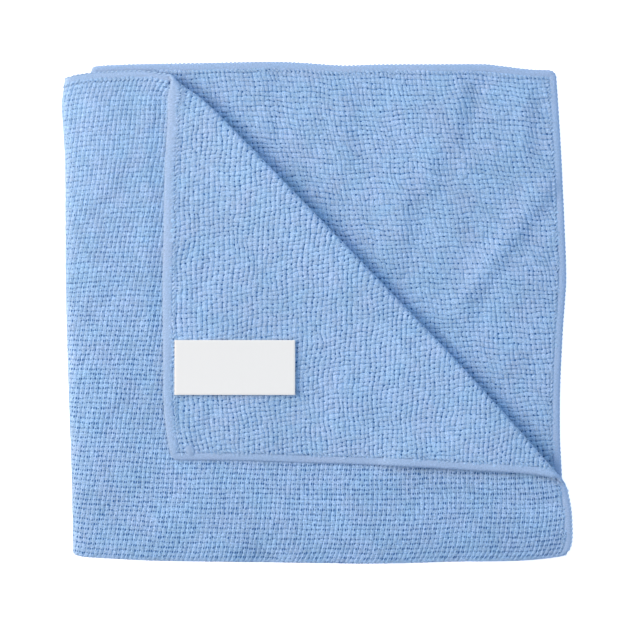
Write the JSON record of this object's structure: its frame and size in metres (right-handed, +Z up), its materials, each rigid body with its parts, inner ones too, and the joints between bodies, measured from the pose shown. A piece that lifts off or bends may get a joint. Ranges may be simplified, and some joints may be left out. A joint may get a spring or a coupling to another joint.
{
  "type": "folded microfibre cloth",
  "caption": "Square knitted microfibre cleaning cloth, folded in quarters, with the corner of its top layer turned back to show a plain sewn-in label.",
  "frame": {"origin": "middle of the folded cloth's footprint, on the surface that it lies on", "axes": "+Z up; the folds are on the -X and -Y sides and the hems on the +X and +Y sides"},
  "size_m": [0.2065, 0.2037, 0.0117],
  "materials": {
    "knit": "matte blue knitted microfibre",
    "label": "white woven ribbon"
  },
  "bodies": {
    "root": {"cloth": "knit", "label": "label"}
  },
  "joints": []
}
